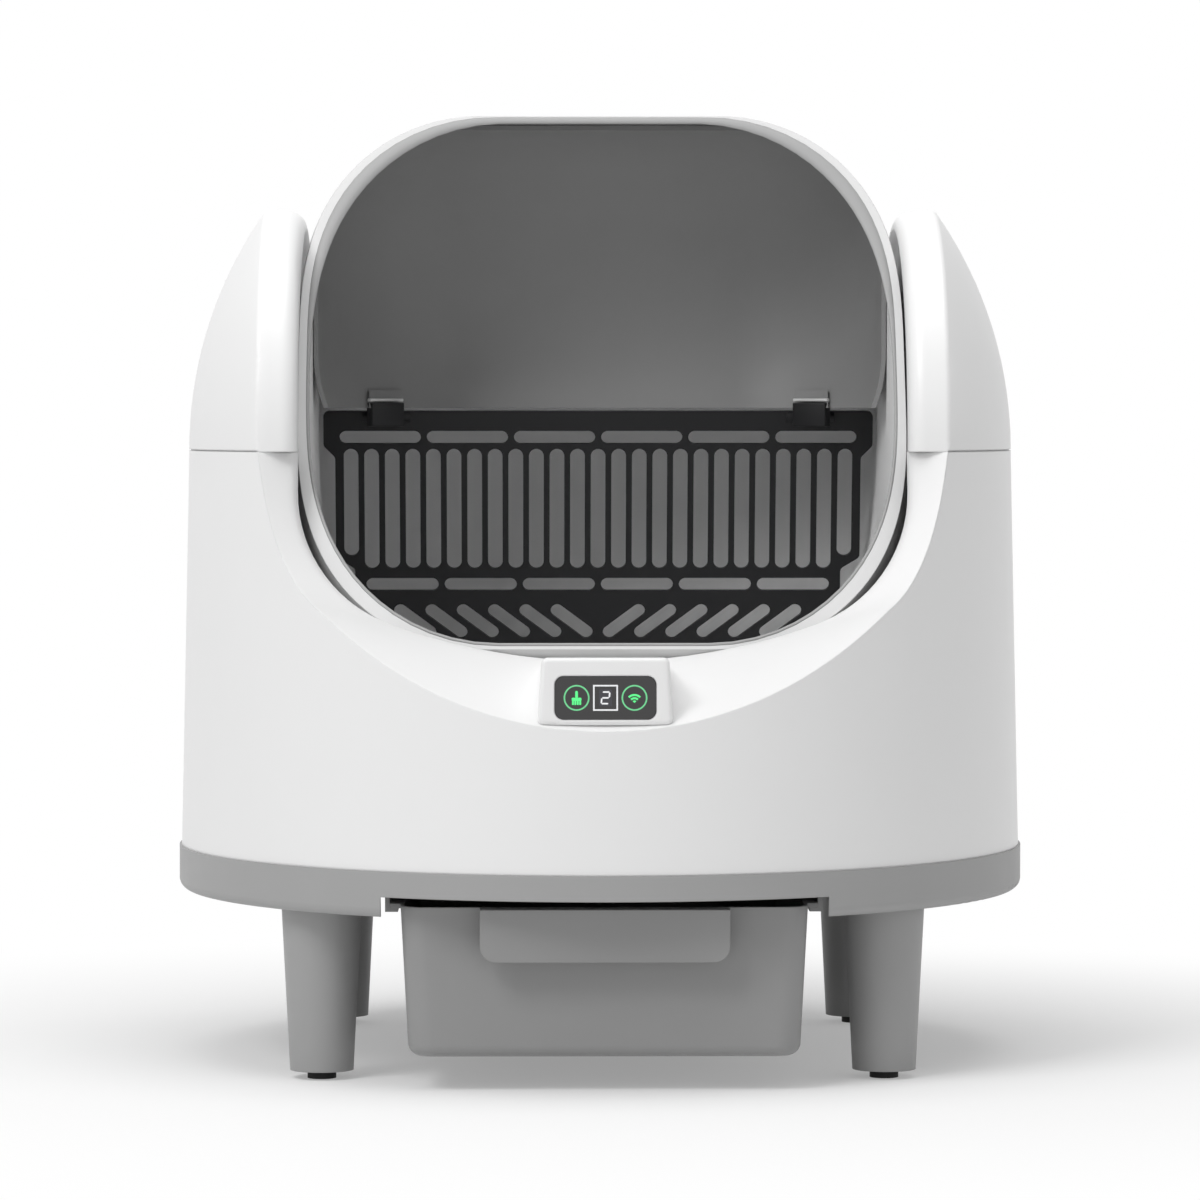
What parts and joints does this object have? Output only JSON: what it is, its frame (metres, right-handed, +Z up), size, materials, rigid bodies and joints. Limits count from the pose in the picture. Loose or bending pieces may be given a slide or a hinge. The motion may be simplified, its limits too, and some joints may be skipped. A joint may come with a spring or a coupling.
{
  "type": "self-cleaning litter box",
  "caption": "Round white litter box on cone legs, with a wide-mouthed drum that turns between two ears to sift litter through a grille into a waste drawer.",
  "frame": {"origin": "on the floor, under the middle of the round base", "axes": "+X to the right seen from the front, -Y towards the front, +Z up"},
  "size_m": [0.56, 0.56, 0.622],
  "materials": {
    "shell_white": "smooth moulded plastic, soft gloss",
    "drum_white": "smooth moulded plastic, satin",
    "base_grey": "fine matte moulding",
    "drawer_grey": "fine matte moulding",
    "hood_grey": "matte",
    "liner_grey": "matte",
    "sieve_black": "satin",
    "panel_glass": "polished",
    "foot_rubber": "matte",
    "steel": "satin",
    "bush_bronze": "plain turned",
    "gear_nylon": "moulded nylon",
    "frame_grey": "matte",
    "board_green": "solder mask",
    "motor_metal": "satin",
    "sensor_metal": "milled",
    "socket_black": "satin"
  },
  "bodies": {
    "base": {"main_shell": "shell_white", "ear_cap_left": "shell_white", "ear_cap_right": "shell_white", "panel_housing": "shell_white", "skirt": "base_grey", "panel_glass": "panel_glass", "panel_board": "board_green", "main_board": "board_green", "chassis": "frame_grey", "waste_chute": "frame_grey", "pillar_left": "frame_grey", "pillar_right": "frame_grey", "bearing_cap_left": "frame_grey", "bearing_cap_right": "frame_grey", "runner_left": "frame_grey", "runner_right": "frame_grey", "motor_bracket": "steel", "leg_screws": "steel", "bearing_screws": "steel", "bush_left": "bush_bronze", "bush_right": "bush_bronze", "gearmotor": "motor_metal", "weight_sensors": "sensor_metal", "dc_inlet": "socket_black", "leg_front_left": "base_grey", "pad_front_left": "foot_rubber", "leg_front_right": "base_grey", "pad_front_right": "foot_rubber", "leg_rear_left": "base_grey", "pad_rear_left": "foot_rubber", "leg_rear_right": "base_grey", "pad_rear_right": "foot_rubber"},
    "drum": {"drum_shell": "drum_white", "mouth_rim": "drum_white", "basin_liner": "liner_grey", "hood_liner": "hood_grey", "hood_panel": "hood_grey", "sieve_clip_left": "hood_grey", "sieve_clip_right": "hood_grey", "hub_left": "steel", "hub_right": "steel", "hub_screws": "steel", "drum_gear": "gear_nylon"},
    "sieve": {"sieve": "sieve_black", "sieve_pins": "steel"},
    "drawer": {"drawer_tray": "drawer_grey", "drawer_handle": "drawer_grey"},
    "pinion": {"pinion": "gear_nylon", "pinion_shaft": "steel"}
  },
  "joints": [
    {"name": "drum_turn", "type": "hinge", "parent": "base", "child": "drum", "pos_m": [0, 0, 0.4], "axis": [-1, 0, 0], "range_deg": [-20, 243]},
    {"name": "pinion_turn", "type": "hinge", "parent": "base", "child": "pinion", "pos_m": [0.227, 0, 0.32], "axis": [-1, 0, 0], "range_deg": [-735, 65]},
    {"name": "drawer_slide", "type": "slide", "parent": "base", "child": "drawer", "axis": [0, -1, 0], "range_m": [0, 0.3]},
    {"name": "sieve_swing", "type": "hinge", "parent": "drum", "child": "sieve", "pos_m": [0, 0.099, 0.422], "axis": [-1, 0, 0], "range_deg": [0, 50]}
  ],
  "couplings": [
    {"joint": "pinion_turn", "follows": "drum_turn", "ratio": -3}
  ]
}
